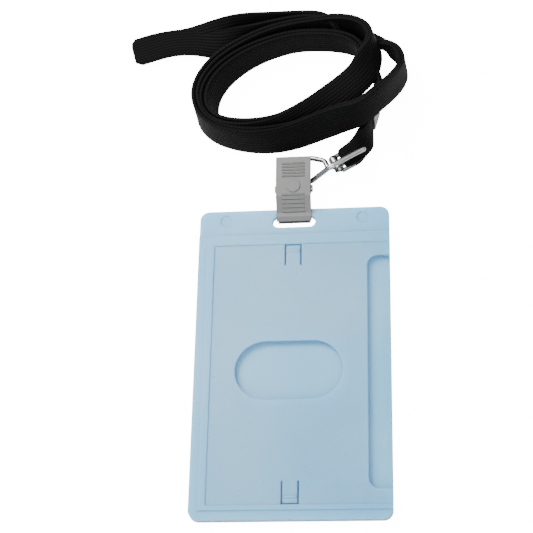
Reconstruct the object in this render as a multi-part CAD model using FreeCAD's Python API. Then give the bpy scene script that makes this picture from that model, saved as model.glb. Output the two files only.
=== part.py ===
import FreeCAD, Part
import math
import os

V = FreeCAD.Vector
Z_UP = V(0, 0, 1)

# A rigid side-loading card holder hangs by a sprung jaw clip and a swivel hook from a flat neck
# strap. It lies on its back: X is across the holder, Y runs up it towards the clip, and Z is up.
# Lengths are in millimetres.

# ---- card and holder ----
card_width = 54.0
card_height = 85.6
card_play = 0.6              # room around the card in the pocket, in both directions
holder_width = 62.0
rim_bottom = 4.4             # solid rim below the pocket
rim_top = 3.7                # solid rim above the pocket
rim_left = 5.3               # closed side of the pocket
flange_length = 9.3          # thin flange above the pocket, which the clip bites
corner_radius = 3.0
back_thickness = 1.2
card_gap = 1.4               # height of the space for the card
panel_thickness = 0.9
rim_rise = 0.3               # the rim stands this much above the panel
land_width = 2.8             # lower outer step of the rim, left and bottom
land_drop = 0.5
flange_thickness = 1.6
flange_raise = 0.9           # the flange's underside above the table
panel_cut_in = 7.2           # how far the front panel stops short of the open side
stop_length = 4.6            # corner stops that close the open side, above and below
stop_width = 2.4
cut_corner_radius = 3.6
thumb_length = 34.0
thumb_height = 19.4
slot_length = 14.0
slot_height = 3.9
slot_below_top = 4.5
mark_radius = 1.9
mark_depth = 0.3
mark_spread = 22.3
tongue_width = 5.0
tongue_length = 7.4
tongue_slit = 0.5
tongue_ridge = 0.45

# ---- jaw clip ----
clip_width = 11.4
sheet = 0.6                  # plate thickness
front_length = 20.7
lip_inset = 1.6              # how far the lips reach into the slot
lip_bend = 0.2               # from the slot's upper edge to the bend of a lip
lip_dip = 0.7                # how far the tip of a lip points down into the slot
jaw_gap = 0.02
side_fold = 1.3              # depth of the front plate's folded sides
pivot_from_lip = 10.6
pivot_height = 4.5
pin_radius = 0.7
pin_head_radius = 1.15
pin_head = 0.5
pin_play = 0.05
ear_radius = 1.6
ear_play = 0.12
grip_height = 8.2            # top of the front plate at its grip end
rear_height = 2.3            # middle of the rear plate at its grip end
rear_overhang = 0.9          # the rear plate is this much longer than the front one
grip_hole_radius = 2.1
grip_hole_from_end = 3.2
grip_ridges = 5              # pressed ridges in each of the two grip fields
ridge_pitch = 1.1
ridge_radius = 0.3
ridge_length = 7.4
boss_radius = 2.3            # pressed round boss between the grip fields
boss_rise = 0.25
spring_wire = 0.6
spring_turns = 6
spring_play = 0.25
spring_leg = 5.2

# ---- hook and swivel ----
wire = 1.7                   # diameter of the hook's wire
wire_gap = 0.12              # between the wire and the rear plate where it passes through
hook_angle = 29.0            # swivel axis in plan, from +X
swivel_height = 4.3
hook_loop = 10.1             # width of the hook's loop between wire centres
hook_reach = 14.0            # from the grip hole to the swivel bar, across
hook_side = 0.7              # how far the swivel bar's middle is beside the grip hole
swivel_bar_radius = 1.6
swivel_bar_length = 7.3
swivel_play = 0.05
neck_length = 3.0            # from the swivel bar's axis to the wire's elbow
neck_bend = 1.3
eye_wire = 1.5
eye_length = 5.5             # from the bar's axis to the crossbar's axis
eye_corner = 1.1
head_radius = 1.45
head_length = 0.8
head_gap = 0.1
thumb_clear = 0.15           # between the thumb end and the swivel bar as it turns
thumb_beside = 1.7           # how far the thumb end lies beside the swivel axis
thumb_back = 2.6             # where the thumb end starts, behind the swivel bar
thumb_reach = 9.5            # how far the thumb end runs past the swivel bar

# ---- strap ----
strap_width = 10.0
strap_thickness = 1.2
crimp_length = 6.0
crimp_wall = 0.5
crimp_play = 0.1
crimp_angle = 75.0           # the crimp's direction in plan, from +X
crimp_place = V(25.9, 136.8, 0)
bar_play = 0.08              # room for the crossbar in the folded strap
fold_play = 0.3              # between the folded strap and the eye's legs, each side
table_gap = 0.1              # between the strap's loose stretches and what they lie on
coil_height = 10.5
tail_height = 8.0
tail_thickness = 6.6
turn_factor = 0.45           # share of the shorter run that an arc takes

# The route of the strap where it isn't coiled, and the outlines of its coil.
lead_straight = 5.0          # from the crimp's middle to where the lead starts to bend
lead_end = V(27.6, 146.5, 0)
tail_route = [V(-20, 172.5, 0), V(-30, 170.9, 0), V(-40, 171.0, 0), V(-48.5, 169.6, 0),
              V(-56.5, 167.2, 0)]
coil_outer = [V(-36, 149, 0), V(-33.5, 140, 0), V(-28, 133, 0), V(-19, 129, 0), V(-9, 127.3, 0),
              V(0, 128.3, 0), V(9, 131.2, 0), V(16, 135.2, 0), V(21.5, 139.6, 0),
              V(27, 141.4, 0), V(32, 142.2, 0), V(35.8, 146.5, 0), V(36.8, 152.5, 0),
              V(34.6, 159.5, 0), V(30.5, 165.5, 0), V(26, 170, 0), V(19, 173.7, 0),
              V(10, 175.6, 0), V(0, 176.2, 0), V(-12, 175.8, 0), V(-22, 173, 0),
              V(-30, 167, 0), V(-34.8, 158.5, 0)]
coil_inner = [V(-26.5, 144, 0), V(-24, 138.2, 0), V(-18, 135, 0), V(-10, 134.8, 0),
              V(-3, 136.8, 0), V(6, 142, 0), V(14, 148, 0), V(19.5, 154.5, 0), V(19, 160, 0),
              V(12, 164, 0), V(3, 165, 0), V(-8, 162.8, 0), V(-17, 158.5, 0), V(-23.5, 152, 0)]

# ---- derived sizes ----
pocket_width = card_width + card_play
pocket_height = card_height + card_play
pocket_bottom = rim_bottom
pocket_top = pocket_bottom + pocket_height
shell_top = pocket_top + rim_top
holder_top = shell_top + flange_length
half_width = holder_width / 2
pocket_left = -half_width + rim_left
panel_base = back_thickness + card_gap
panel_top = panel_base + panel_thickness
rim_height = panel_top + rim_rise
flange_top = flange_raise + flange_thickness
slot_y = holder_top - slot_below_top
lip_y = slot_y + slot_height / 2 - lip_inset
pivot_y = lip_y + pivot_from_lip
grip_y = lip_y + front_length
rear_end = grip_y + rear_overhang
hole_y = rear_end - grip_hole_from_end
wire_radius = wire / 2
eye_radius = eye_wire / 2
axis_dir = V(math.cos(math.radians(hook_angle)), math.sin(math.radians(hook_angle)), 0)
across_dir = Z_UP.cross(axis_dir)
swivel_centre = V(hook_reach, hole_y + hook_side, swivel_height)
fold_radius = eye_wire / 2 + strap_thickness


# ---- helpers ----
def box(x0, y0, z0, x1, y1, z1):
    """A box between two corners."""
    return Part.makeBox(x1 - x0, y1 - y0, z1 - z0, V(x0, y0, z0))


def slab(outline, z0, z1):
    """A flat piece from a closed wire drawn at height zero."""
    face = Part.Face(outline)
    face.translate(V(0, 0, z0))
    return face.extrude(V(0, 0, z1 - z0))


def rounded_plate(x0, y0, x1, y1, z0, z1, radius):
    """A box whose four upright edges are rounded."""
    plate = box(x0, y0, z0, x1, y1, z1)
    return plate.makeFillet(radius, upright_edges(plate))


def upright_edges(shape):
    """The straight edges that run along Z."""
    found = []
    for edge in shape.Edges:
        if len(edge.Vertexes) == 2:
            run = edge.Vertexes[1].Point - edge.Vertexes[0].Point
            if abs(run.x) + abs(run.y) < 1e-6 and abs(run.z) > 1e-6:
                found.append(edge)
    return found


def stadium(cx, cy, length, height, z0, z1):
    """A slab with half-round ends, its long side along X."""
    radius = height / 2
    reach = length / 2 - radius
    middle = box(cx - reach, cy - radius, z0, cx + reach, cy + radius, z1)
    ends = [Part.makeCylinder(radius, z1 - z0, V(cx + s * reach, cy, z0)) for s in (-1, 1)]
    return middle.fuse(ends).removeSplitter()


def rounded_path(points, radii):
    """A wire of straight runs joined by tangent arcs, one radius for each inner point."""
    edges, start = [], points[0]
    for before, corner, after, radius in zip(points, points[1:], points[2:], radii):
        into = (corner - before).normalize()
        away = (after - corner).normalize()
        turn = into.getAngle(away)
        cut = radius * math.tan(turn / 2)
        first, last = corner - into * cut, corner + away * cut
        inward = (away - into).normalize()
        middle = corner + inward * (radius / math.cos(turn / 2) - radius)
        edges.append(Part.LineSegment(start, first).toShape())
        edges.append(Part.Arc(first, middle, last).toShape())
        start = last
    edges.append(Part.LineSegment(start, points[-1]).toShape())
    return Part.Wire(edges)


def natural_radii(points):
    """The largest arc that each corner's two runs leave room for."""
    radii = []
    for before, corner, after in zip(points, points[1:], points[2:]):
        turn = (corner - before).getAngle(after - corner)
        shorter = min((corner - before).Length, (after - corner).Length)
        radii.append(turn_factor * shorter / math.tan(turn / 2))
    return radii


def round_tube(points, radii, radius):
    """A round wire or rod along a path."""
    path = rounded_path(points, radii)
    direction = points[1] - points[0]
    ring = Part.Wire(Part.Circle(points[0], direction, radius).toShape())
    return sweep(path, ring)


def sweep(path, profile):
    """A solid swept along a path, its profile kept upright."""
    maker = Part.BRepOffsetAPI.MakePipeShell(path)
    maker.setFrenetMode(False)
    maker.add(profile)
    maker.build()
    maker.makeSolid()
    return maker.shape()


def band(points, height, thickness, name):
    """A flat band swept on a path, and a line that reports its bends and its volume."""
    radii = natural_radii(points)
    path = rounded_path(points, radii)
    along = (points[1] - points[0]).normalize()
    side = Z_UP.cross(along).normalize()
    up = along.cross(side)
    corners = [points[0] + side * (thickness / 2 * a) + up * (height / 2 * b)
               for a, b in ((-1, -1), (1, -1), (1, 1), (-1, 1), (-1, -1))]
    maker = Part.BRepOffsetAPI.MakePipeShell(path)
    maker.setBiNormalMode(Z_UP)
    maker.add(Part.makePolygon(corners))
    maker.build()
    maker.makeSolid()
    solid = maker.shape()
    report = " ".join(f"{r:.1f}" for r in radii)
    share = solid.Volume / (path.Length * height * thickness)
    print(f"{name}: length {path.Length:.1f}, radii {report}, volume share {share:.3f}")
    return solid


def smooth_outline(points):
    """A closed smooth curve through the points."""
    curve = Part.BSplineCurve()
    curve.interpolate(points, PeriodicFlag=True)
    return Part.Wire(curve.toShape())


def bent_plate(profile, width, x_centre):
    """A plate of even thickness whose side view is an open polyline of (y, z) middles."""
    sides = []
    for side in (1, -1):
        line = []
        for i, (y, z) in enumerate(profile):
            ahead = V(*profile[min(i + 1, len(profile) - 1)], 0) - V(y, z, 0)
            behind = V(y, z, 0) - V(*profile[max(i - 1, 0)], 0)
            runs = [r.normalize() for r in (behind, ahead) if r.Length > 1e-9]
            normals = [V(-r.y, r.x, 0) for r in runs]
            total = sum(normals, V())
            offset = total * (sheet / 2 / total.dot(normals[0]))
            line.append(V(x_centre - width / 2, y + side * offset.x, z + side * offset.y))
        sides.append(line)
    loop = sides[0] + sides[1][::-1]
    face = Part.Face(Part.makePolygon(loop + loop[:1]))
    return face.extrude(V(width, 0, 0))


# ---- holder ----
def make_back_panel():
    """The plain back of the pocket with the flange that hangs it."""
    plate = rounded_plate(-half_width, 0, half_width, holder_top, 0, flange_top, corner_radius)
    plate = plate.cut(box(-half_width, pocket_bottom, back_thickness, half_width, shell_top,
                          flange_top))
    plate = plate.cut(box(-half_width, 0, back_thickness, half_width, pocket_bottom, flange_top))
    plate = plate.cut(box(-half_width, shell_top, 0, half_width, holder_top, flange_raise))
    slot = stadium(0, slot_y, slot_length, slot_height, 0, flange_top)
    plate = plate.cut(slot)
    for side in (-1, 1):
        place = V(side * mark_spread, slot_y + 1.0, flange_top - mark_depth)
        plate = plate.cut(Part.makeCylinder(mark_radius, mark_depth, place))
    return plate.removeSplitter()


def tongue_cuts(root_y, direction):
    """The slits that free a card tongue: two sides and the end beside the rim."""
    end_y = root_y + direction * tongue_length
    low, high = min(root_y, end_y), max(root_y, end_y)
    half = tongue_width / 2
    cuts = [box(s * half - tongue_slit / 2, low, panel_base - 1, s * half + tongue_slit / 2, high,
                rim_height + 1) for s in (-1, 1)]
    edge = end_y - direction * tongue_slit
    cuts.append(box(-half, min(edge, end_y), panel_base - 1, half, max(edge, end_y),
                    rim_height + 1))
    return cuts


def make_front_cover():
    """The front of the pocket: rim, panel, thumb opening, card tongues and the open side."""
    cover = rounded_plate(-half_width, 0, half_width, shell_top + corner_radius * 2,
                          back_thickness, rim_height, corner_radius)
    cover = cover.cut(box(-half_width, shell_top, 0, half_width, holder_top * 2, rim_height))
    land = box(-half_width, 0, rim_height - land_drop, half_width, shell_top, rim_height)
    land = land.cut(box(-half_width + land_width, land_width, 0, half_width + 1, shell_top + 1,
                        rim_height + 1))
    cover = cover.cut(land)
    cover = cover.cut(box(pocket_left, pocket_bottom, panel_top, half_width, pocket_top,
                          rim_height))
    cover = cover.cut(box(pocket_left, pocket_bottom, back_thickness, pocket_left + pocket_width,
                          pocket_top, panel_base))
    stop_low, stop_high = pocket_bottom + stop_length, pocket_top - stop_length
    cover = cover.cut(box(pocket_left, stop_low, back_thickness, half_width, stop_high,
                          panel_base))
    mouth = rounded_plate(half_width - panel_cut_in, stop_low, half_width + cut_corner_radius * 2,
                          stop_high, panel_base, rim_height, cut_corner_radius)
    cover = cover.cut(mouth)
    centre_x = (pocket_left + half_width - panel_cut_in) / 2
    centre_y = (pocket_bottom + pocket_top) / 2
    cover = cover.cut(stadium(centre_x, centre_y, thumb_length, thumb_height, panel_base,
                              rim_height))
    for root_y, direction in ((pocket_top - tongue_length, 1),
                              (pocket_bottom + tongue_length, -1)):
        cover = cover.cut(tongue_cuts(root_y, direction))
        ridge_y = root_y + direction * (tongue_length - 2.4)
        ridge = Part.makeCylinder(tongue_ridge, tongue_width - 2 * tongue_slit,
                                  V(-tongue_width / 2 + tongue_slit, ridge_y, panel_top),
                                  V(1, 0, 0))
        cover = cover.fuse(ridge)
    return cover.removeSplitter()


# ---- clip ----
def front_profile():
    """The front plate's side view, from its lip in the slot to its grip end."""
    edge = slot_y + slot_height / 2
    bite = flange_top + jaw_gap + sheet / 2
    grip_z = grip_height - sheet / 2
    return [(lip_y, bite - lip_dip), (edge - lip_bend, bite), (edge + 1.1, bite),
            (pivot_y - 3.5, pivot_height + 1.9), (pivot_y + 3.0, grip_z - 0.5), (grip_y, grip_z)]


def rear_profile():
    """The rear plate's side view: it passes under the flange and rises to the hook's hole."""
    edge = slot_y + slot_height / 2
    bite = flange_raise - jaw_gap - sheet / 2
    low = table_gap / 2 + sheet / 2
    return [(lip_y, bite + lip_dip / 2), (edge - lip_bend, bite), (edge + 1.1, bite),
            (holder_top, low), (holder_top + 1.5, low),
            (hole_y - 3.6, rear_height), (rear_end, rear_height)]


def height_on(profile, y):
    """The middle height of a plate at one place along it."""
    for (y0, z0), (y1, z1) in zip(profile, profile[1:]):
        if y <= y1:
            return z0 + (z1 - z0) * (y - y0) / (y1 - y0)
    return profile[-1][1]


def ear(x0, x1, foot_z):
    """A plate ear that stands up to the pivot pin, with its hole."""
    foot = box(x0, pivot_y - ear_radius, foot_z, x1, pivot_y + ear_radius, pivot_height)
    head = Part.makeCylinder(ear_radius, x1 - x0, V(x0, pivot_y, pivot_height), V(1, 0, 0))
    return foot.fuse(head)


def make_rear_jaw():
    """The rear lever: hole for the hook, two ears that hold the pin."""
    jaw = bent_plate(rear_profile(), clip_width - 0.8, 0)
    inner = clip_width / 2 - sheet - ear_play - sheet
    for side in (-1, 1):
        x0, x1 = sorted((side * inner, side * (inner + sheet)))
        jaw = jaw.fuse(ear(x0, x1, height_on(rear_profile(), pivot_y)))
    jaw = jaw.cut(Part.makeCylinder(pin_radius, clip_width * 2, V(-clip_width, pivot_y,
                                                                  pivot_height), V(1, 0, 0)))
    hole = Part.makeCylinder(grip_hole_radius, rear_height * 2, V(0, hole_y, 0))
    return jaw.cut(hole).removeSplitter()


def make_front_jaw():
    """The front lever: folded sides, ears outside the rear ones, and a pressed grip pattern."""
    jaw = bent_plate(front_profile(), clip_width, 0)
    outline = [V(0, y, z) for y, z in front_profile()[2:]]
    for side in (-1, 1):
        x0 = side * (clip_width / 2 - sheet / 2) - sheet / 2
        low = [p - V(0, 0, side_fold) for p in reversed(outline[1:])]
        loop = [V(x0, p.y, p.z) for p in outline + low]
        jaw = jaw.fuse(Part.Face(Part.makePolygon(loop + loop[:1])).extrude(V(sheet, 0, 0)))
        foot = box(x0, pivot_y - ear_radius, pivot_height, x0 + sheet, pivot_y + ear_radius,
                   pivot_height + 2.2)
        head = Part.makeCylinder(ear_radius, sheet, V(x0, pivot_y, pivot_height), V(1, 0, 0))
        jaw = jaw.fuse([foot, head])
    jaw = jaw.cut(Part.makeCylinder(pin_radius + pin_play, clip_width * 2,
                                    V(-clip_width, pivot_y, pivot_height), V(1, 0, 0)))
    return jaw.fuse(grip_pattern()).removeSplitter()


def grip_pattern():
    """The raised pattern on the front plate: ridges above and below a round boss."""
    profile = front_profile()
    marks = []
    for side in (-1, 1):
        for i in range(grip_ridges):
            y = pivot_y + side * (boss_radius + ridge_pitch * (i + 0.8))
            top = height_on(profile, y) + sheet / 2
            marks.append(Part.makeCylinder(ridge_radius, ridge_length,
                                           V(-ridge_length / 2, y, top), V(1, 0, 0)))
    slope = math.atan2(height_on(profile, pivot_y + 1) - height_on(profile, pivot_y - 1), 2)
    normal = V(0, -math.sin(slope), math.cos(slope))
    middle = V(0, pivot_y, height_on(profile, pivot_y))
    marks.append(Part.makeCylinder(boss_radius, sheet / 2 + boss_rise, middle, normal))
    return marks


def make_pivot_pin():
    """The pin through all four ears, with a head at each end."""
    reach = clip_width / 2 + 0.05
    pin = Part.makeCylinder(pin_radius, 2 * reach, V(-reach, pivot_y, pivot_height), V(1, 0, 0))
    for side in (-1, 1):
        x0 = min(side * reach, side * (reach + pin_head))
        head = Part.makeCylinder(pin_head_radius, pin_head, V(x0, pivot_y, pivot_height),
                                 V(1, 0, 0))
        pin = pin.fuse(head)
    return pin.removeSplitter()


def make_clip_spring():
    """A close-wound torsion spring on the pin, with one leg against each plate."""
    radius = pin_radius + spring_play + spring_wire / 2
    pitch = spring_wire * 0.96
    start = -pitch * (spring_turns - 1) / 2
    rings = [Part.makeTorus(radius, spring_wire / 2, V(start + i * pitch, pivot_y, pivot_height),
                            V(1, 0, 0)) for i in range(spring_turns)]
    legs = []
    for x, side, slope in ((start, -1, spring_lower_slope()), (-start, 1, spring_upper_slope())):
        foot = V(x, pivot_y, pivot_height + side * radius)
        direction = V(0, math.cos(slope), math.sin(slope))
        legs.append(Part.makeCylinder(spring_wire / 2, spring_leg, foot, direction))
    return rings[0].fuse(rings[1:] + legs).removeSplitter()


def spring_lower_slope():
    """The slope of the leg that lies just above the rear plate."""
    radius = pin_radius + spring_play + spring_wire / 2
    rest = rear_height + sheet / 2 + spring_wire / 2 + 0.06
    return math.asin((rest - (pivot_height - radius)) / spring_leg)


def spring_upper_slope():
    """The slope of the leg that lies just under the front plate."""
    radius = pin_radius + spring_play + spring_wire / 2
    rest = grip_height - sheet * 1.5 - spring_wire / 2 - 0.35
    return math.asin((rest - (pivot_height + radius)) / spring_leg)


# ---- hook and swivel ----
def hook_points():
    """The hook's wire: neck, far side, down through the grip hole, near side, thumb end."""
    wide = hook_loop / 2
    under = rear_height - sheet / 2 - wire_radius - wire_gap
    over = rear_height + sheet / 2 + wire_radius + wire_gap
    turning = swivel_bar_length / 2 + wire_radius + thumb_clear
    lift = math.sqrt(turning ** 2 - thumb_beside ** 2)
    thumb_start = swivel_centre - axis_dir * thumb_back - across_dir * thumb_beside
    thumb_end = swivel_centre + axis_dir * thumb_reach - across_dir * thumb_beside
    return [
        swivel_centre + axis_dir * (swivel_bar_radius + head_gap + head_length / 2),
        swivel_centre - axis_dir * neck_length,
        V(10.0, hole_y + 2.7, swivel_height - 0.6),
        V(5.2, hole_y + wide - 0.1, 1.9),
        V(1.2, hole_y + 3.6, under),
        V(-0.1, hole_y + 1.5, under),
        V(-0.1, hole_y - 1.5, over),
        V(1.2, hole_y - 3.6, over),
        V(5.2, hole_y - wide - 0.1, over + 0.1),
        V(thumb_start.x, thumb_start.y, swivel_height + lift),
        V(thumb_end.x, thumb_end.y, swivel_height + lift),
    ]


def make_hook_wire():
    """The one-piece wire hook with its upset head inside the swivel eye."""
    radii = [neck_bend, 2.6, 3.2, 1.4, 1.2, 1.2, 1.4, 3.0, 3.4]
    body = round_tube(hook_points(), radii, wire_radius)
    head_at = swivel_centre + axis_dir * (swivel_bar_radius + head_gap)
    head = Part.makeCylinder(head_radius, head_length, head_at, axis_dir)
    tip = Part.makeSphere(wire_radius, hook_points()[-1])
    return body.fuse([head, tip]).removeSplitter()


def make_swivel_eye():
    """The swivel's bar with its bored neck hole, and the loop that carries the strap."""
    half = swivel_bar_length / 2 - swivel_bar_radius
    bar = Part.makeCylinder(swivel_bar_radius, 2 * half, swivel_centre - across_dir * half,
                            across_dir)
    ends = [Part.makeSphere(swivel_bar_radius, swivel_centre + across_dir * (s * half))
            for s in (-1, 1)]
    reach = half + swivel_bar_radius - eye_radius
    corners = [swivel_centre + across_dir * reach,
               swivel_centre + across_dir * reach + axis_dir * eye_length,
               swivel_centre - across_dir * reach + axis_dir * eye_length,
               swivel_centre - across_dir * reach]
    loop = round_tube(corners, [eye_corner, eye_corner], eye_radius)
    eye = bar.fuse(ends + [loop])
    hole_start = swivel_centre - axis_dir * (swivel_bar_radius * 1.5)
    hole = Part.makeCylinder(wire_radius + swivel_play, swivel_bar_radius * 3, hole_start,
                             axis_dir)
    return eye.cut(hole).removeSplitter()


# ---- strap ----
def crimp_axis():
    turn = math.radians(crimp_angle)
    return V(math.cos(turn), math.sin(turn), 0)


def section(centre, along, width, height):
    """A rectangle that stands across a direction in plan."""
    side = Z_UP.cross(along).normalize() * (width / 2)
    up = Z_UP * (height / 2)
    loop = [centre - side - up, centre + side - up, centre + side + up, centre - side + up]
    return Part.makePolygon(loop + loop[:1])


def make_crimp():
    """The flat metal sleeve that holds both ends of the strap."""
    axis = crimp_axis()
    start = crimp_place - axis * (crimp_length / 2) + V(0, 0, strap_width / 2 + crimp_wall)
    inner_wide = 2 * strap_thickness + 2 * crimp_play
    outer = Part.Face(section(start, axis, inner_wide + 2 * crimp_wall,
                              strap_width + 2 * crimp_wall)).extrude(axis * crimp_length)
    along = [e for e in outer.Edges if abs(e.Length - crimp_length) < 1e-6]
    outer = outer.makeFillet(crimp_wall * 1.6, along)
    inner = Part.Face(section(start, axis, inner_wide, strap_width)).extrude(axis * crimp_length)
    return outer.cut(inner)


def make_strap_end_loop():
    """The strap's folded end, from the middle of the crimp round the eye's crossbar."""
    axis = crimp_axis()
    wide = 2 * strap_thickness
    inside = strap_width - 2 * crimp_play
    mid_z = strap_width / 2 + crimp_wall
    crossbar = swivel_centre + axis_dir * eye_length
    gap = swivel_bar_length - 2 * eye_wire - 2 * fold_play
    mouth = crimp_place - axis * (crimp_length / 2 + 0.4)
    halfway = (mouth + V(crossbar.x, crossbar.y, 0)) * 0.5 + axis_dir * 1.2
    sections = [
        section(crossbar, axis_dir, gap, 2 * fold_radius),
        section(crossbar + axis_dir * 2.2, axis_dir, gap, 2 * fold_radius),
        section(V(halfway.x, halfway.y, mid_z - 0.3), axis_dir + axis, wide + 0.6, inside * 0.8),
        section(mouth + V(0, 0, mid_z), axis, wide, inside),
        section(crimp_place + V(0, 0, mid_z), axis, wide, inside),
    ]
    body = Part.makeLoft(sections, True, True)
    fold = Part.makeCylinder(fold_radius, gap, crossbar - across_dir * (gap / 2), across_dir)
    hole = Part.makeCylinder(eye_radius + bar_play, gap * 2, crossbar - across_dir * gap,
                             across_dir)
    return body.fuse(fold).cut(hole).removeSplitter()


def make_strap_lead():
    """Both strands of the strap, side by side on edge, from the crimp to the coil."""
    lift = V(0, 0, strap_width / 2 + crimp_wall)
    bend = crimp_place + crimp_axis() * lead_straight
    points = [p + lift for p in (crimp_place, bend, lead_end)]
    lead = band(points, strap_width - 2 * crimp_play, 2 * strap_thickness, "strap_lead")
    return lead.cut(make_strap_coil())


def make_strap_coil():
    """The outer shape of the coiled strap: one closed ring as high as the strap is wide."""
    outer = slab(smooth_outline(coil_outer), 0, coil_height)
    inner = slab(smooth_outline(coil_inner), -1, coil_height + 1)
    return outer.cut(inner)


def make_strap_tail():
    """The strap's far end: two strands side by side that end in their fold."""
    lift = V(0, 0, table_gap + tail_height / 2)
    tail = band([p + lift for p in tail_route], tail_height, tail_thickness, "strap_tail")
    return tail.cut(make_strap_coil())


makers = {
    "back_panel": make_back_panel,
    "front_cover": make_front_cover,
    "front_jaw": make_front_jaw,
    "rear_jaw": make_rear_jaw,
    "pivot_pin": make_pivot_pin,
    "clip_spring": make_clip_spring,
    "hook_wire": make_hook_wire,
    "swivel_eye": make_swivel_eye,
    "crimp": make_crimp,
    "strap_end_loop": make_strap_end_loop,
    "strap_lead": make_strap_lead,
    "strap_coil": make_strap_coil,
    "strap_tail": make_strap_tail,
}
shapes = {name: make() for name, make in makers.items()}

# The origin is under the middle of everything but the strap and what is on it.
hard = [s for name, s in shapes.items() if not name.startswith("strap") and name != "crimp"]
bounds = FreeCAD.BoundBox()
for shape in hard:
    bounds.add(shape.optimalBoundingBox())
shift = V(-bounds.Center.x, -bounds.Center.y, -bounds.ZMin)
print(f"shift {shift.x:.4f} {shift.y:.4f} {shift.z:.4f}")
print(f"pivot {pivot_y + shift.y:.4f} hole {hole_y + shift.y:.4f}")
print(f"swivel centre {swivel_centre + shift}, direction {axis_dir}")

os.makedirs("parts", exist_ok=True)
for name, shape in shapes.items():
    shape.translate(shift)
    print(f"{name}: {shape.ShapeType} valid {shape.isValid()} solids {len(shape.Solids)} "
          f"volume {shape.Volume:.1f}")
    shape.exportStep(f"parts/{name}.step")
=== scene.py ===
from math import cos, pi, radians, sin

import bmesh
import bpy
from mathutils import Matrix, Vector


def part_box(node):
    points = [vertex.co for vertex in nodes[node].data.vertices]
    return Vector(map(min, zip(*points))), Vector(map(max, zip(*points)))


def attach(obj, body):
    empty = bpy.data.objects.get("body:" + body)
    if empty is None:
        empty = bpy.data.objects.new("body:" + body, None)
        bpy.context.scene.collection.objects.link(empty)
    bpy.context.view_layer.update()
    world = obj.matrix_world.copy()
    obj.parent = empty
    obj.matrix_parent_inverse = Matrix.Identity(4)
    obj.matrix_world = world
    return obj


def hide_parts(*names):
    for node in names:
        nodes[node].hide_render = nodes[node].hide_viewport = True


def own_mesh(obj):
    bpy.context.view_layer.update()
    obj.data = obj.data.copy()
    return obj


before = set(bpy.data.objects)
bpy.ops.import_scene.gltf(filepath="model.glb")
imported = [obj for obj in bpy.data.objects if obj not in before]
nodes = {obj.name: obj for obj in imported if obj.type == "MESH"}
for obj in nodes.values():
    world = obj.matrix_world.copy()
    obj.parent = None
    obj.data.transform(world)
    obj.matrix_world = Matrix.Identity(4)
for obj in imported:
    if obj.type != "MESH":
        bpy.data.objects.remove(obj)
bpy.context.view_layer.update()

MM = 0.001
# The holder's bottom edge is the zero of the drawing's y; here it is below the origin.
DATUM = Vector((0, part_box("back_panel")[0].y, 0))

# ---- sizes of the strap, in mm ----
STRAP_WIDTH = 10.0
STRAP_THICKNESS = 1.2
END_CORNER = 1.6
TABLE_CLEARANCE = 0.1
SPLINE_STEPS = 6
ACROSS = (-1.0, -0.5, 0.0, 0.5, 1.0)
EDGE_ROUND = 0.3
WARP_PITCH = 1.1
PICK_PITCH = 1.3

# ---- clip spring, in mm ----
LEG_FROM_PIN = 1.6
WELD = 0.001

# ---- colours, linear ----
WEBBING_DARK = (0.0005, 0.0005, 0.0006)
WEBBING_LIGHT = (0.0030, 0.0030, 0.0033)
# The deep tints carry the plastic's painted shade at the sides and foot, and its random clouds.
BACK_PALE, BACK_DEEP = (0.25, 0.58, 0.97), (0.13, 0.46, 0.92)
COVER_PALE, COVER_DEEP = (0.26, 0.59, 0.97), (0.14, 0.47, 0.92)
PLATE_GREY = (0.165, 0.165, 0.163)
PIN_GREY = (0.45, 0.45, 0.44)
SPRING_GREY = (0.30, 0.30, 0.31)
WIRE_GREY = (0.40, 0.40, 0.395)
CAST_GREY = (0.26, 0.26, 0.257)
CRIMP_GREY = (0.36, 0.36, 0.355)
HAZE_SHARE = 0.82
TABLE_DULL, TABLE_WHITE = (0.93, 0.93, 0.93), (0.95, 0.95, 0.95)

# ---- finishes; noise scales are in repeats per metre ----
FUZZ_SCALE, FUZZ_SHARE = 2600.0, 0.25
PATCH_SCALE, PATCH_SHARE, PATCH_STRETCH = 90.0, 0.8, (0.35, 1.0, 1.0)
YARN_SCALE, YARN_SHARE, YARN_STRETCH = 900.0, 0.9, (0.08, 1.0, 1.0)
CORD_RISE, CORD_LOW = 0.45, 0.55
# Painted shade: the weave's tone is darker in the hollows between the cords than on their tops.
HOLLOW_SHADE_RISE, HOLLOW_SHADE_LOW = 0.6, 0.25
# Each rib's picks start half a pick on from its neighbour's.
PICK_SHIFT = 0.5
WEAVE_DEPTH = 0.14
WEBBING_ROUGH = (0.92, 0.62)
WEBBING_SHINE = 0.06
WEBBING_SHEEN, SHEEN_ROUGH = 0.015, 0.5
# The two directions of the hair scratches, each with its scale and stretch.
SCRATCHES = ((420.0, (0.06, 1.0, 1.0)), (380.0, (1.0, 0.05, 1.0)))
SCRATCH_FADE = 0.06
PLASTIC_FINE, PLASTIC_BROAD, PLASTIC_REACH = 1800.0, 22.0, 0.69
PLASTIC_IOR, PLASTIC_SPREAD, PLASTIC_SHINE = 1.49, 0.7, 0.5
# What the grain and the scratches add to a face's roughness, and how deep they go.
PLASTIC_GRAIN, PLASTIC_HAIR = 0.12, 0.08
PLASTIC_GROOVE, PLASTIC_DEPTH, PLASTIC_BUMP = -0.25, 0.04, 0.6
PLATING_BROAD, PLATING_REACH = 140.0, 0.64
PLATING_HAZE, PLATING_HAIR = 0.16, 0.12
PLATING_GROOVE, PLATING_BUMP = -0.5, 0.5
# How far the tint deepens: painted shade at the sides and at the foot, and random tone in the
# clouds.
SIDE_SHADE, FOOT_SHADE, CLOUD_TINT = 0.45, 0.55, 0.6
CLOUD_SPAN = (0.35, 0.68)
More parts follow.
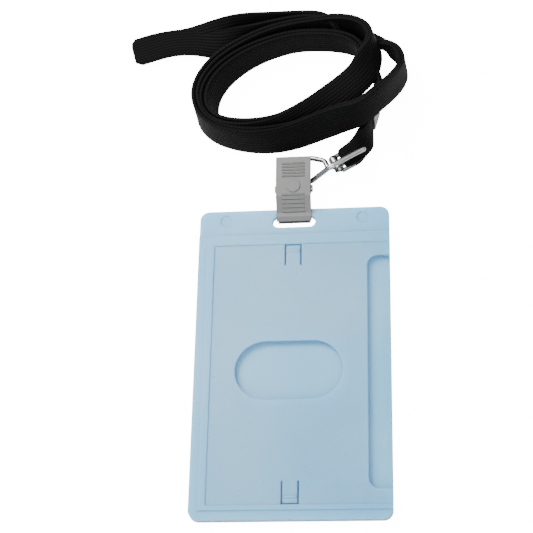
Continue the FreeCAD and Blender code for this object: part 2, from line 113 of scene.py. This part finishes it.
# Where painted shade deepens the plastic's tint, in metres: from the middle to the sides, and to
# the foot.
SHADE_SPAN_ACROSS = (0.020, 0.031)
SHADE_SPAN_FOOT = (-0.062, -0.02)
PLASTIC_EDGE = 0.45
PLATING_EDGE = 0.2
# How far light spreads under the plastic's face, and by colour.
SPREAD_SCALE = 0.008
SPREAD_COLOURS = (0.5, 0.85, 1.0)
ROLLED = (0.15, 1, 1)

# ---- table, light and camera ----
TABLE_HALF = 3.0
TABLE_FINE, TABLE_BROAD = 60.0, 2.0
TABLE_ROUGH, TABLE_SHINE = 0.9, 0.1
TABLE_GLOW = 14.0
TABLE_GLOW_THROUGH = 0.55
LIGHT_AIM = (0, 0.02, 0)
# From the horizon to overhead: where the sky brightens, and from what to what.
SKY_SPAN, SKY_SHINE = (0.3, 0.95), (0.04, 1.5)
CAMERA_TURNS = (-15.889, 64.789, -16.178)
CAMERA_LENS = 100.597
CAMERA_SENSOR = 36.0
CAMERA_TARGET = (-9.054, 84.493, 0)
CAMERA_DISTANCE = 483.5

# Each strand's route: x, y, z in mm and its lean in degrees. 0 stands on its edge, and
# + turns its top edge to the left of its run.
INNER_STRAND = [
    (25.3, 137.0, 5.50, 0), (26.2, 140.1, 5.40, 0), (27.3, 142.9, 5.20, 0),
    (27.7, 147.9, 5.04, 6), (26.2, 153.2, 4.93, 16), (24.0, 158.2, 4.92, 14),
    (20.7, 162.3, 5.14, 4), (15.3, 164.9, 5.25, -5), (8.0, 165.9, 5.25, -5),
    (-0.4, 165.9, 5.25, -5), (-9.3, 163.4, 5.27, -6), (-17.2, 159.6, 5.35, -10),
    (-24.1, 154.0, 5.45, -15), (-28.0, 147.7, 5.51, -18), (-28.7, 141.2, 5.49, -17),
    (-25.4, 136.0, 5.33, -8), (-18.4, 133.2, 5.14, 4), (-10.5, 132.6, 5.03, 15),
    (-3.1, 133.7, 5.30, 30), (3.9, 136.4, 6.34, 50), (10.8, 139.9, 8.36, 66),
    (17.5, 143.5, 10.51, 80), (22.7, 147.7, 11.61, 76), (25.0, 153.9, 10.97, 46),
    (26.6, 160.0, 9.40, 20), (25.7, 165.3, 8.56, 4), (21.3, 169.5, 7.60, 0),
    (14.4, 171.4, 6.63, -3), (4.1, 171.0, 5.45, -5), (-7.3, 168.8, 5.26, -6),
    (-16.7, 164.4, 5.30, -8), (-24.9, 158.8, 5.34, -10), (-30.5, 152.0, 5.32, -8),
    (-32.7, 145.0, 5.27, -5), (-31.2, 137.6, 5.14, 4), (-26.1, 132.1, 4.89, 10),
    (-17.9, 129.4, 4.75, 14), (-9.4, 128.8, 4.57, 22), (-0.0, 130.1, 4.90, 30),
    (8.5, 131.5, 8.12, 30), (16.1, 131.9, 12.56, 26), (22.8, 132.1, 15.59, 20),
    (28.1, 137.3, 15.07, 13), (31.9, 143.2, 11.33, 8), (34.8, 149.2, 7.32, 8),
    (36.3, 154.4, 5.26, 4), (34.4, 159.2, 5.08, 2), (30.8, 161.8, 5.10, 8),
    (28.2, 163.2, 4.00, 50), (25.2, 164.8, 1.90, 78), (20.6, 167.8, 1.80, 82),
    (15.4, 171.2, 4.00, 45), (10.0, 173.4, 5.10, 0), (1.0, 173.3, 5.20, -5),
    (-9.0, 171.2, 5.00, -8), (-16.0, 169.0, 4.70, -22), (-22.5, 168.0, 3.60, -50),
    (-29.0, 168.8, 2.40, -74), (-36.0, 170.5, 1.80, -88), (-44.0, 170.3, 1.75, -90),
    (-51.0, 168.4, 1.75, -90), (-57.4, 166.6, 1.45, -90),
]
OUTER_STRAND = [
    (26.5, 136.6, 5.50, 0), (27.4, 139.7, 5.40, 0), (28.5, 142.7, 5.20, 0),
    (28.9, 148.1, 5.16, 6), (27.4, 153.6, 5.27, 16), (25.2, 159.0, 5.28, 14),
    (21.7, 163.7, 5.26, 4), (15.7, 166.1, 5.15, -5), (8.0, 167.1, 5.15, -5),
    (-0.6, 167.1, 5.15, -5), (-9.7, 164.8, 5.13, -6), (-18.0, 161.0, 5.05, -10),
    (-25.5, 155.2, 4.95, -15), (-29.8, 148.3, 4.89, -18), (-30.5, 140.8, 4.91, -17),
    (-26.6, 134.6, 5.07, -8), (-18.8, 131.6, 5.26, 4), (-10.5, 131.4, 5.37, 15),
    (-2.9, 132.7, 5.90, 30), (4.1, 135.6, 7.26, 50), (10.8, 139.3, 9.44, 66),
    (17.3, 143.1, 11.69, 80), (22.9, 147.5, 12.79, 76), (25.8, 153.7, 11.83, 46),
    (27.8, 160.0, 9.80, 20), (26.7, 165.9, 8.64, 4), (21.9, 170.5, 7.60, 0),
    (14.6, 172.6, 6.57, -3), (3.9, 172.2, 5.35, -5), (-7.7, 170.0, 5.14, -6),
    (-17.3, 165.6, 5.10, -8), (-25.9, 160.0, 5.06, -10), (-31.9, 152.8, 5.08, -8),
    (-34.3, 145.0, 5.13, -5), (-32.6, 136.8, 5.26, 4), (-26.7, 131.1, 5.11, 10),
    (-18.1, 128.2, 5.05, 14), (-9.4, 127.6, 5.03, 22), (0.0, 129.1, 5.50, 30),
    (8.3, 130.5, 8.68, 30), (15.9, 130.7, 13.04, 26), (23.2, 131.1, 16.01, 20),
    (29.1, 136.7, 15.33, 13), (32.9, 142.6, 11.47, 8), (36.0, 148.8, 7.48, 8),
    (37.5, 154.4, 5.34, 4), (35.6, 159.6, 5.12, 2), (31.6, 162.6, 5.10, 8),
    (29.0, 164.2, 3.40, 50), (25.8, 165.9, 0.85, 78), (21.0, 168.9, 0.80, 82),
    (15.7, 172.4, 3.40, 45), (9.8, 174.7, 5.10, 0), (0.5, 174.8, 5.20, -5),
    (-9.5, 174.6, 5.20, -8), (-19.0, 174.0, 4.60, -26), (-28.5, 172.3, 2.60, -60),
    (-38.0, 171.6, 0.90, -88), (-46.0, 171.2, 0.65, -90), (-52.5, 169.8, 0.60, -90),
    (-57.4, 168.0, 0.85, -90),
]

# The folded end round the eye: the middle of the band in mm, and half its width as a vector.
END_FOLD = [
    ((26.44, 136.66, 5.5), (0, 0, 4.8)), ((25.6, 133.4, 5.5), (0, 0, 4.8)),
    ((24.9, 130.4, 5.5), (-0.8, 0.3, 4.5)), ((24.1, 127.9, 5.6), (-1.8, 0.8, 3.9)),
    ((23.0, 125.7, 5.8), (-2.7, 1.6, 2.6)), ((21.4, 123.6, 6.1), (-2.5, 2.5, 1.2)),
    ((19.6, 121.8, 6.2), (-2.0, 3.3, 0.3)), ((18.3, 120.9, 6.25), (-1.9, 3.42, 0)),
    ((16.5, 119.95, 6.2), (-1.75, 3.15, 0)), ((16.4, 119.9, 4.2), (-1.26, 2.27, 0)),
    ((17.2, 120.35, 2.75), (-1.3, 2.35, 0)), ((18.9, 121.3, 2.75), (-1.38, 2.49, 0)),
    ((20.3, 122.2, 2.9), (-1.6, 2.4, 0.2)), ((21.4, 123.9, 4.4), (-2.4, 2.2, 1.2)),
    ((22.4, 125.9, 4.8), (-2.5, 1.5, 2.6)), ((23.2, 128.2, 5.0), (-1.6, 0.7, 3.9)),
    ((24.0, 130.7, 5.5), (-0.8, 0.3, 4.5)), ((24.6, 133.8, 5.5), (0, 0, 4.8)),
    ((25.36, 136.95, 5.5), (0, 0, 4.8)),
]
# Each strand from the crimp to the far fold, in metres.
INNER_LENGTH = 0.437
OUTER_LENGTH = 0.455


def placed(point):
    """A point of the drawing, in mm, as a point of the model in metres."""
    return Vector(point) * MM + DATUM


# ---- strap ----
def along_spline(rows):
    """Points read from one smooth NURBS line that has the rows as its control points."""
    curve = bpy.data.curves.new("route", "CURVE")
    curve.dimensions = "3D"
    curve.resolution_u = SPLINE_STEPS
    spline = curve.splines.new("NURBS")
    spline.points.add(len(rows) - 1)
    for point, row in zip(spline.points, rows):
        point.co = (*row, 1)
    spline.order_u = 3
    spline.use_endpoint_u = True
    holder = bpy.data.objects.new("route", curve)
    mesh = bpy.data.meshes.new_from_object(holder)
    points = [v.co.copy() for v in mesh.vertices]
    bpy.data.objects.remove(holder)
    bpy.data.curves.remove(curve)
    bpy.data.meshes.remove(mesh)
    return points


def half_widths(centres, leans):
    """Half the strap's width at each point, turned by its lean about its run."""
    halves = []
    for i, lean in enumerate(leans):
        run = centres[min(i + 1, len(centres) - 1)] - centres[max(i - 1, 0)]
        left = Vector((0, 0, 1)).cross(run).normalized()
        up = run.cross(left).normalized()
        halves.append((up * cos(lean) + left * sin(lean)) * (STRAP_WIDTH / 2 * MM))
    return halves


def rounded_end(centres, halves):
    """The same half widths, drawn in over the last stretch so that the end has round corners."""
    left, shares = 0.0, [1.0] * len(halves)
    for i in range(len(centres) - 1, 0, -1):
        reach = min(left / (END_CORNER * MM), 1)
        lost = 1 - (1 - (1 - reach) ** 2) ** 0.5
        shares[i] = 1 - lost * 2 * END_CORNER / STRAP_WIDTH
        left += (centres[i] - centres[i - 1]).length
    return [h * share for h, share in zip(halves, shares)]


def resting(centres, halves):
    """The same points, lifted where an edge would lie below the table."""
    least = (TABLE_CLEARANCE + STRAP_THICKNESS / 2) * MM
    return [c + Vector((0, 0, max(0, least + abs(h.z) - c.z))) for c, h in zip(centres, halves)]


def woven_band(name, centres, halves):
    """A flat strap along the points, with UVs in metres along and across its weave."""
    bm = bmesh.new()
    spot = {}
    row = [bm.verts.new(centres[0] + halves[0] * share) for share in ACROSS]
    for vert, share in zip(row, ACROSS):
        spot[vert] = (0.0, halves[0].length * share)
    edges = [bm.edges.new(pair) for pair in zip(row, row[1:])]
    along = 0.0
    for before, centre, old, half in zip(centres, centres[1:], halves, halves[1:]):
        along += (centre - before).length
        made = bmesh.ops.extrude_edge_only(bm, edges=edges)["geom"]
        row = [g for g in made if isinstance(g, bmesh.types.BMVert)]
        edges = [g for g in made if isinstance(g, bmesh.types.BMEdge)
                 and g.verts[0] in row and g.verts[1] in row]
        row.sort(key=lambda v: (v.co - before).dot(old))
        for vert, share in zip(row, ACROSS):
            vert.co = centre + half * share
            spot[vert] = (along, half.length * share)
    uv = bm.loops.layers.uv.new("weave")
    for face in bm.faces:
        face.smooth = True
        for loop in face.loops:
            loop[uv].uv = spot[loop.vert]
    mesh = bpy.data.meshes.new(name)
    bm.to_mesh(mesh)
    bm.free()
    band = bpy.data.objects.new(name, mesh)
    bpy.context.scene.collection.objects.link(band)
    wall = band.modifiers.new("wall", "SOLIDIFY")
    wall.thickness = STRAP_THICKNESS * MM
    wall.offset = 0
    wall.use_even_offset = True
    soft = band.modifiers.new("soft_edges", "BEVEL")
    soft.width = EDGE_ROUND * MM
    soft.segments = 2
    soft.limit_method = "ANGLE"
    bpy.context.view_layer.update()
    whole = bpy.data.meshes.new_from_object(
        band.evaluated_get(bpy.context.evaluated_depsgraph_get()))
    band.modifiers.clear()
    band.data = whole
    whole.name = name
    bpy.data.meshes.remove(mesh)
    return band


def strap_strand(name, route):
    """One strand of the strap: its band, and the points that its middle follows."""
    centres = along_spline([placed(row[:3]) for row in route])
    leans = [v.x for v in along_spline([(radians(row[3]), 0, 0) for row in route])]
    halves = rounded_end(centres, half_widths(centres, leans))
    centres = resting(centres, halves)
    return woven_band(name, centres, halves), centres


inner_strand, inner_path = strap_strand("strap_inner_strand", INNER_STRAND)
outer_strand, outer_path = strap_strand("strap_outer_strand", OUTER_STRAND)
end_fold = woven_band("strap_end_fold", along_spline([placed(c) for c, half in END_FOLD]),
                      along_spline([Vector(half) * MM for c, half in END_FOLD]))

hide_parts("strap_coil", "strap_tail")
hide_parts("strap_lead")
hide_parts("strap_end_loop")
for piece in (inner_strand, outer_strand, end_fold):
    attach(piece, "lanyard")
strands = ((inner_strand, inner_path, INNER_LENGTH), (outer_strand, outer_path, OUTER_LENGTH))
for strand, path, length in strands:
    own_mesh(strand)


# ---- clip spring ----
def spring_part(name, with_leg):
    """The spring's front leg alone, or its coil and rear leg, as a closed copy."""
    bm = bmesh.new()
    bm.from_mesh(nodes["clip_spring"].data)
    bmesh.ops.remove_doubles(bm, verts=bm.verts[:], dist=WELD * MM)
    bmesh.ops.bisect_plane(bm, geom=bm.verts[:] + bm.edges[:] + bm.faces[:], dist=0.0001 * MM,
                           plane_co=LEG_START, plane_no=(0, 1, 0))
    spare = []
    for face in bm.faces:
        middle = face.calc_center_median()
        leg = middle.y > LEG_START.y and middle.z > LEG_START.z
        if leg != with_leg:
            spare.append(face)
    bmesh.ops.delete(bm, geom=spare, context="FACES")
    rim = [e for e in bm.edges if e.is_boundary]
    bmesh.ops.holes_fill(bm, edges=rim, sides=0)
    bmesh.ops.recalc_face_normals(bm, faces=bm.faces[:])
    for face in bm.faces:
        face.smooth = True
    mesh = bpy.data.meshes.new(name)
    bm.to_mesh(mesh)
    bm.free()
    part = bpy.data.objects.new(name, mesh)
    bpy.context.scene.collection.objects.link(part)
    return part


pin_low, pin_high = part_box("pivot_pin")
LEG_START = (pin_low + pin_high) / 2 + Vector((0, LEG_FROM_PIN, 0)) * MM
spring_coil = spring_part("clip_spring_coil", False)
spring_leg = spring_part("clip_spring_leg", True)
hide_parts("clip_spring")
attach(spring_coil, "clip")
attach(spring_leg, "jaw")


# ---- materials ----
def maths(tree, operation, *values):
    """One Math node's result; each value is a socket or a number."""
    node = tree.nodes.new("ShaderNodeMath")
    node.operation = operation
    for socket, value in zip(node.inputs, values):
        if isinstance(value, bpy.types.NodeSocket):
            tree.links.new(value, socket)
        else:
            socket.default_value = value
    return node.outputs[0]


def humps(tree, value):
    """One round hump for each whole step of the value."""
    return maths(tree, "ABSOLUTE", maths(tree, "SINE", maths(tree, "MULTIPLY", value, pi)))


def noise(tree, vector, scale, detail=3.0, stretch=None):
    """A noise pattern's value, stretched along an axis where that is asked."""
    if stretch is not None:
        mapping = tree.nodes.new("ShaderNodeMapping")
        mapping.inputs["Scale"].default_value = stretch
        tree.links.new(vector, mapping.inputs["Vector"])
        vector = mapping.outputs[0]
    node = tree.nodes.new("ShaderNodeTexNoise")
    tree.links.new(vector, node.inputs["Vector"])
    if isinstance(scale, bpy.types.NodeSocket):
        tree.links.new(scale, node.inputs["Scale"])
    else:
        node.inputs["Scale"].default_value = scale
    node.inputs["Detail"].default_value = detail
    return node.outputs["Fac"]


def ranged(tree, value, low, high, to_low, to_high):
    """A value moved from one range to another, and held inside it."""
    node = tree.nodes.new("ShaderNodeMapRange")
    tree.links.new(value, node.inputs["Value"])
    for name, number in (("From Min", low), ("From Max", high), ("To Min", to_low),
                         ("To Max", to_high)):
        if isinstance(number, bpy.types.NodeSocket):
            tree.links.new(number, node.inputs[name])
        else:
            node.inputs[name].default_value = number
    return node.outputs["Result"]


def start_group(name, inputs, outputs):
    """An empty shader group with its sockets; gives the tree, its inputs and its outputs."""
    tree = bpy.data.node_groups.new(name, "ShaderNodeTree")
    for label, kind, value in inputs:
        socket = tree.interface.new_socket(name=label, in_out="INPUT", socket_type=kind)
        if value is not None:
            socket.default_value = value
    for label in outputs:
        tree.interface.new_socket(name=label, in_out="OUTPUT", socket_type="NodeSocketFloat")
    return (tree, tree.nodes.new("NodeGroupInput").outputs,
            tree.nodes.new("NodeGroupOutput").inputs)


def make_weave():
    """Warp cords that pass over and under the picks, in rows across the strap, and their tone:
    painted shade in the hollows between the cords, over a random yarn tone.
    """
    tree, given, out = start_group(
        "webbing_weave",
        [("Vector", "NodeSocketVector", None), ("Rib", "NodeSocketFloat", WARP_PITCH * MM),
         ("Pick", "NodeSocketFloat", PICK_PITCH * MM)],
        ["Tone", "Height"])
    split = tree.nodes.new("ShaderNodeSeparateXYZ")
    tree.links.new(given["Vector"], split.inputs[0])
    ribs = maths(tree, "DIVIDE", split.outputs["Y"], given["Rib"])
    cord = humps(tree, ribs)
    step = maths(tree, "MULTIPLY", maths(tree, "FLOOR", ribs), PICK_SHIFT)
    picks = maths(tree, "ADD", maths(tree, "DIVIDE", split.outputs["X"], given["Pick"]), step)
    over = humps(tree, picks)
    lifted = maths(tree, "MULTIPLY_ADD", over, CORD_RISE, CORD_LOW)
    height = maths(tree, "MULTIPLY", cord, lifted)
    fuzz = noise(tree, given["Vector"], FUZZ_SCALE, 2.0)
    patch = noise(tree, given["Vector"], PATCH_SCALE, 3.0, PATCH_STRETCH)
    yarn = noise(tree, given["Vector"], YARN_SCALE, 2.0, YARN_STRETCH)
    # Painted shade in the hollows, times the random patch and yarn tone.
    tone = maths(tree, "MULTIPLY", maths(tree, "MULTIPLY_ADD", height, HOLLOW_SHADE_RISE, HOLLOW_SHADE_LOW),
                 maths(tree, "ADD", maths(tree, "MULTIPLY", patch, PATCH_SHARE),
                       maths(tree, "MULTIPLY", yarn, YARN_SHARE)))
    tree.links.new(tone, out["Tone"])
    tree.links.new(maths(tree, "MULTIPLY_ADD", fuzz, FUZZ_SHARE, height), out["Height"])
    return tree


def make_fine_grain():
    """The fine unevenness of a moulded or rolled face, and its broad slow changes."""
    tree, given, out = start_group(
        "fine_grain",
        [("Vector", "NodeSocketVector", None), ("Fine", "NodeSocketFloat", 1500.0),
         ("Broad", "NodeSocketFloat", 30.0)],
        ["Grain", "Cloud"])
    tree.links.new(noise(tree, given["Vector"], given["Fine"], 2.0), out["Grain"])
    tree.links.new(noise(tree, given["Vector"], given["Broad"], 2.0), out["Cloud"])
    return tree


def make_scuffs():
    """Thin hair scratches in two directions, as a mask."""
    tree, given, out = start_group(
        "hair_scratches",
        [("Vector", "NodeSocketVector", None), ("Reach", "NodeSocketFloat", 0.66)],
        ["Mask"])
    hairs = [noise(tree, given["Vector"], scale, 1.0, stretch) for scale, stretch in SCRATCHES]
    both = maths(tree, "MAXIMUM", *hairs)
    end = maths(tree, "ADD", given["Reach"], SCRATCH_FADE)
    tree.links.new(ranged(tree, both, given["Reach"], end, 0.0, 1.0), out["Mask"])
    return tree


weave, fine_grain, scuffs = make_weave(), make_fine_grain(), make_scuffs()


def start_material(name):
    """A new material; gives it, its nodes and its Principled shader."""
    material = bpy.data.materials.new(name)
    material.use_nodes = True
    return material, material.node_tree, material.node_tree.nodes["Principled BSDF"]


def use_group(tree, group, vector, **values):
    """A group placed in a material with its own values; gives its outputs."""
    node = tree.nodes.new("ShaderNodeGroup")
    node.node_tree = group
    tree.links.new(vector, node.inputs["Vector"])
    for name, value in values.items():
        node.inputs[name].default_value = value
    return node.outputs


def shade(tree, mask, low, high):
    """A colour that goes from low to high with the mask."""
    node = tree.nodes.new("ShaderNodeMix")
    node.data_type = "RGBA"
    tree.links.new(mask, node.inputs["Factor"])
    node.inputs["A"].default_value = (*low, 1)
    node.inputs["B"].default_value = (*high, 1)
    return node.outputs["Result"]


def bumped(tree, shader, height, distance, strength=1.0, edge=None):
    """A bump on the shader, and softly rounded edges where a radius is given."""
    node = tree.nodes.new("ShaderNodeBump")
    if edge is not None:
        rounding = tree.nodes.new("ShaderNodeBevel")
        rounding.inputs["Radius"].default_value = edge
        tree.links.new(rounding.outputs[0], node.inputs["Normal"])
    node.inputs["Distance"].default_value = distance
    node.inputs["Strength"].default_value = strength
    tree.links.new(height, node.inputs["Height"])
    tree.links.new(node.outputs[0], shader.inputs["Normal"])


def object_place(tree):
    """A point's place on the object, in metres."""
    return tree.nodes.new("ShaderNodeTexCoord").outputs["Object"]


def make_webbing():
    """Black polyester webbing: a matt ribbed weave with a little sheen."""
    material, tree, shader = start_material("black_webbing")
    uv = tree.nodes.new("ShaderNodeUVMap")
    uv.uv_map = "weave"
    cloth = use_group(tree, weave, uv.outputs[0], Rib=WARP_PITCH * MM, Pick=PICK_PITCH * MM)
    # The base colour carries painted shade in the weave's hollows over a random yarn tone.
    tree.links.new(shade(tree, cloth["Tone"], WEBBING_DARK, WEBBING_LIGHT),
                   shader.inputs["Base Color"])
    tree.links.new(ranged(tree, cloth["Height"], 0.0, 1.0, *WEBBING_ROUGH),
                   shader.inputs["Roughness"])
    shader.inputs["Specular IOR Level"].default_value = WEBBING_SHINE
    shader.inputs["Sheen Weight"].default_value = WEBBING_SHEEN
    shader.inputs["Sheen Roughness"].default_value = SHEEN_ROUGH
    bumped(tree, shader, cloth["Height"], WEAVE_DEPTH * MM)
    return material


def make_plastic(name, pale, deep, smooth, clear):
    """Frosted translucent plastic: a pale tint with random deeper clouds and painted shade
    towards the sides and the foot, with a fine spark.
    """
    material, tree, shader = start_material(name)
    place = object_place(tree)
    face = use_group(tree, fine_grain, place, Fine=PLASTIC_FINE, Broad=PLASTIC_BROAD)
    marks = use_group(tree, scuffs, place, Reach=PLASTIC_REACH)
    split = tree.nodes.new("ShaderNodeSeparateXYZ")
    tree.links.new(place, split.inputs[0])
    middle = maths(tree, "ABSOLUTE", split.outputs["X"])
    # Painted shade: the tint deepens towards the sides and the foot.
    side_shade = ranged(tree, middle, *SHADE_SPAN_ACROSS, 0.0, SIDE_SHADE)
    foot = ranged(tree, split.outputs["Y"], *SHADE_SPAN_FOOT, FOOT_SHADE, 0.0)
    cloud = ranged(tree, face["Cloud"], *CLOUD_SPAN, 0.0, CLOUD_TINT)
    shade_and_cloud = maths(tree, "ADD", cloud, maths(tree, "MAXIMUM", side_shade, foot))
    tree.links.new(shade(tree, shade_and_cloud, pale, deep), shader.inputs["Base Color"])
    rough = maths(tree, "MULTIPLY_ADD", face["Grain"], PLASTIC_GRAIN, smooth)
    tree.links.new(maths(tree, "MULTIPLY_ADD", marks["Mask"], PLASTIC_HAIR, rough),
                   shader.inputs["Roughness"])
    shader.inputs["Transmission Weight"].default_value = clear
    shader.inputs["IOR"].default_value = PLASTIC_IOR
    shader.inputs["Subsurface Weight"].default_value = PLASTIC_SPREAD
    shader.inputs["Subsurface Scale"].default_value = SPREAD_SCALE
    shader.inputs["Subsurface Radius"].default_value = SPREAD_COLOURS
    shader.inputs["Specular IOR Level"].default_value = PLASTIC_SHINE
    height = maths(tree, "MULTIPLY_ADD", marks["Mask"], PLASTIC_GROOVE, face["Grain"])
    bumped(tree, shader, height, PLASTIC_DEPTH * MM, PLASTIC_BUMP, PLASTIC_EDGE * MM)
    return material


def make_metal(name, tone, rough, fine, grain_depth, stretch=None):
    """Plated metal: a cool grey mirror softened by grain, clouds of haze and hair scratches."""
    material, tree, shader = start_material(name)
    place = object_place(tree)
    if stretch is not None:
        mapping = tree.nodes.new("ShaderNodeMapping")
        mapping.inputs["Scale"].default_value = stretch
        tree.links.new(place, mapping.inputs["Vector"])
        place = mapping.outputs[0]
    face = use_group(tree, fine_grain, place, Fine=fine, Broad=PLATING_BROAD)
    marks = use_group(tree, scuffs, place, Reach=PLATING_REACH)
    dull = tuple(HAZE_SHARE * c for c in tone)
    tree.links.new(shade(tree, face["Cloud"], dull, tone), shader.inputs["Base Color"])
    hazy = maths(tree, "MULTIPLY_ADD", face["Cloud"], PLATING_HAZE, rough)
    tree.links.new(maths(tree, "MULTIPLY_ADD", marks["Mask"], PLATING_HAIR, hazy),
                   shader.inputs["Roughness"])
    shader.inputs["Metallic"].default_value = 1.0
    height = maths(tree, "MULTIPLY_ADD", marks["Mask"], PLATING_GROOVE, face["Grain"])
    bumped(tree, shader, height, grain_depth, PLATING_BUMP, PLATING_EDGE * MM)
    return material


webbing = make_webbing()
for piece in (inner_strand, outer_strand, end_fold):
    piece.data.materials.clear()
    piece.data.materials.append(webbing)

spring_steel = make_metal("spring_steel", SPRING_GREY, 0.3, 1600.0, 0.00002)
finishes = {
    "back_panel": make_plastic("clear_blue_back", BACK_PALE, BACK_DEEP, 0.28, 0.2),
    "front_cover": make_plastic("clear_blue_front", COVER_PALE, COVER_DEEP, 0.24, 0.25),
    "front_jaw": make_metal("plated_sheet_front", PLATE_GREY, 0.46, 900.0, 0.00003, ROLLED),
    "rear_jaw": make_metal("plated_sheet_rear", PLATE_GREY, 0.44, 900.0, 0.00003, ROLLED),
    "pivot_pin": make_metal("plated_pin", PIN_GREY, 0.2, 1400.0, 0.00002),
    "hook_wire": make_metal("plated_wire", WIRE_GREY, 0.12, 1200.0, 0.00002),
    "swivel_eye": make_metal("plated_casting", CAST_GREY, 0.18, 700.0, 0.00005),
    "crimp": make_metal("crimp_sheet", CRIMP_GREY, 0.26, 1000.0, 0.00003),
}
for piece in (spring_coil, spring_leg):
    piece.data.materials.append(spring_steel)
for name, material in finishes.items():
    piece = nodes[name]
    if piece.material_slots:
        for slot in piece.material_slots:
            slot.material = material
    else:
        piece.data.materials.append(material)


# ---- table, light and camera ----
def make_table():
    """A plain white table top that shows bright to the lens."""
    bm = bmesh.new()
    bmesh.ops.create_grid(bm, x_segments=1, y_segments=1, size=TABLE_HALF)
    mesh = bpy.data.meshes.new("table")
    bm.to_mesh(mesh)
    bm.free()
    table = bpy.data.objects.new("table", mesh)
    bpy.context.scene.collection.objects.link(table)
    material, tree, shader = start_material("table_white")
    speck = use_group(tree, fine_grain, object_place(tree), Fine=TABLE_FINE, Broad=TABLE_BROAD)
    tree.links.new(shade(tree, speck["Cloud"], TABLE_DULL, TABLE_WHITE),
                   shader.inputs["Base Color"])
    shader.inputs["Roughness"].default_value = TABLE_ROUGH
    shader.inputs["Specular IOR Level"].default_value = TABLE_SHINE
    seen = tree.nodes.new("ShaderNodeLightPath").outputs
    direct = maths(tree, "MULTIPLY", seen["Is Camera Ray"], TABLE_GLOW)
    glow = maths(tree, "MULTIPLY_ADD", seen["Is Transmission Ray"], TABLE_GLOW_THROUGH, direct)
    shader.inputs["Emission Color"].default_value = (1, 1, 1, 1)
    tree.links.new(glow, shader.inputs["Emission Strength"])
    mesh.materials.append(material)


def make_light(name, place, size, power):
    """A square soft light that faces the middle of the object."""
    lamp = bpy.data.lights.new(name, "AREA")
    lamp.size = size
    lamp.energy = power
    holder = bpy.data.objects.new(name, lamp)
    aim = Vector(LIGHT_AIM) - Vector(place)
    holder.matrix_world = (Matrix.Translation(place)
                           @ aim.to_track_quat("-Z", "Y").to_matrix().to_4x4())
    bpy.context.scene.collection.objects.link(holder)


def make_world():
    """Even white light that is stronger overhead than at the horizon."""
    world = bpy.data.worlds.new("studio")
    world.use_nodes = True
    tree = world.node_tree
    split = tree.nodes.new("ShaderNodeSeparateXYZ")
    tree.links.new(tree.nodes.new("ShaderNodeTexCoord").outputs["Generated"], split.inputs[0])
    seen = tree.nodes.new("ShaderNodeLightPath").outputs
    shine = ranged(tree, split.outputs["Z"], *SKY_SPAN, *SKY_SHINE)
    tree.links.new(maths(tree, "MULTIPLY_ADD", seen["Is Camera Ray"], TABLE_GLOW, shine),
                   tree.nodes["Background"].inputs["Strength"])
    tree.nodes["Background"].inputs["Color"].default_value = (1, 1, 1, 1)
    bpy.context.scene.world = world


def make_camera():
    """A long lens above the front edge, turned a little to the left and rolled."""
    azimuth, elevation, roll = (radians(a) for a in CAMERA_TURNS)
    forward = Vector((sin(azimuth) * cos(elevation), cos(azimuth) * cos(elevation),
                      -sin(elevation)))
    level = Vector((cos(azimuth), -sin(azimuth), 0))
    over = level.cross(forward)
    right = level * cos(roll) + over * sin(roll)
    up = over * cos(roll) - level * sin(roll)
    camera = bpy.data.cameras.new("camera")
    camera.lens = CAMERA_LENS
    camera.sensor_width = CAMERA_SENSOR
    holder = bpy.data.objects.new("camera", camera)
    turn = Matrix((right, up, -forward)).transposed().to_4x4()
    place = placed(CAMERA_TARGET) - forward * CAMERA_DISTANCE * MM
    holder.matrix_world = Matrix.Translation(place) @ turn
    bpy.context.scene.collection.objects.link(holder)
    bpy.context.scene.camera = holder


make_table()
make_light("key_light", (-0.45, 0.35, 0.7), 0.5, 13.0)
make_light("fill_light", (0.12, -0.62, 0.5), 0.6, 6.0)
make_camera()
make_world()
